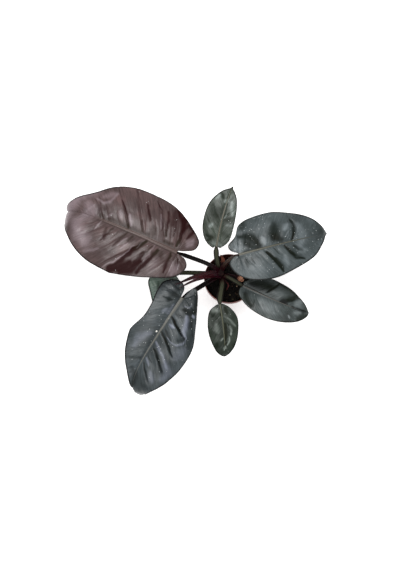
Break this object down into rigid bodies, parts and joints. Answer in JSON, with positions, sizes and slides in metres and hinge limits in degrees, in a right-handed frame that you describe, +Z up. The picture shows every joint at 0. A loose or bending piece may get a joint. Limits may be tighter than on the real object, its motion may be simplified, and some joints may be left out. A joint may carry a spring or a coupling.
{
  "type": "potted black cardinal philodendron",
  "caption": "Black cardinal philodendron in a small red plastic pot: wide glossy leaves, burgundy to charcoal, on channelled petioles, with a forked red sheath",
  "frame": {"origin": "the middle of the pot's flat base, on the surface that it stands on", "axes": "+Z is up; +X is to the right in the picture and runs along the plant's widest spread; +Y is away from the viewer"},
  "size_m": [0.5847, 0.4648, 0.2737],
  "materials": {
    "pot_plastic": "satin",
    "potting_mix": "matte",
    "stem_skin": "satin",
    "new_leaf": "satin",
    "dark_leaf": "satin",
    "green_leaf": "satin",
    "dark_petiole": "satin",
    "green_petiole": "satin",
    "red_sheath": "satin",
    "dry_sheath": "matte"
  },
  "bodies": {
    "root": {"pot": "pot_plastic", "soil": "potting_mix", "stem": "stem_skin", "blade_north_west": "new_leaf", "petiole_north_west": "dark_petiole", "blade_south_west": "dark_leaf", "petiole_south_west": "dark_petiole", "blade_east": "dark_leaf", "petiole_east": "dark_petiole", "blade_south_east": "green_leaf", "petiole_south_east": "green_petiole", "blade_north": "green_leaf", "petiole_north": "green_petiole", "blade_south": "green_leaf", "petiole_south": "green_petiole", "blade_west": "green_leaf", "petiole_west": "green_petiole", "cataphyll": "red_sheath", "dry_sheath_north": "dry_sheath", "dry_sheath_east": "dry_sheath", "dry_sheath_south": "dry_sheath"}
  },
  "joints": []
}
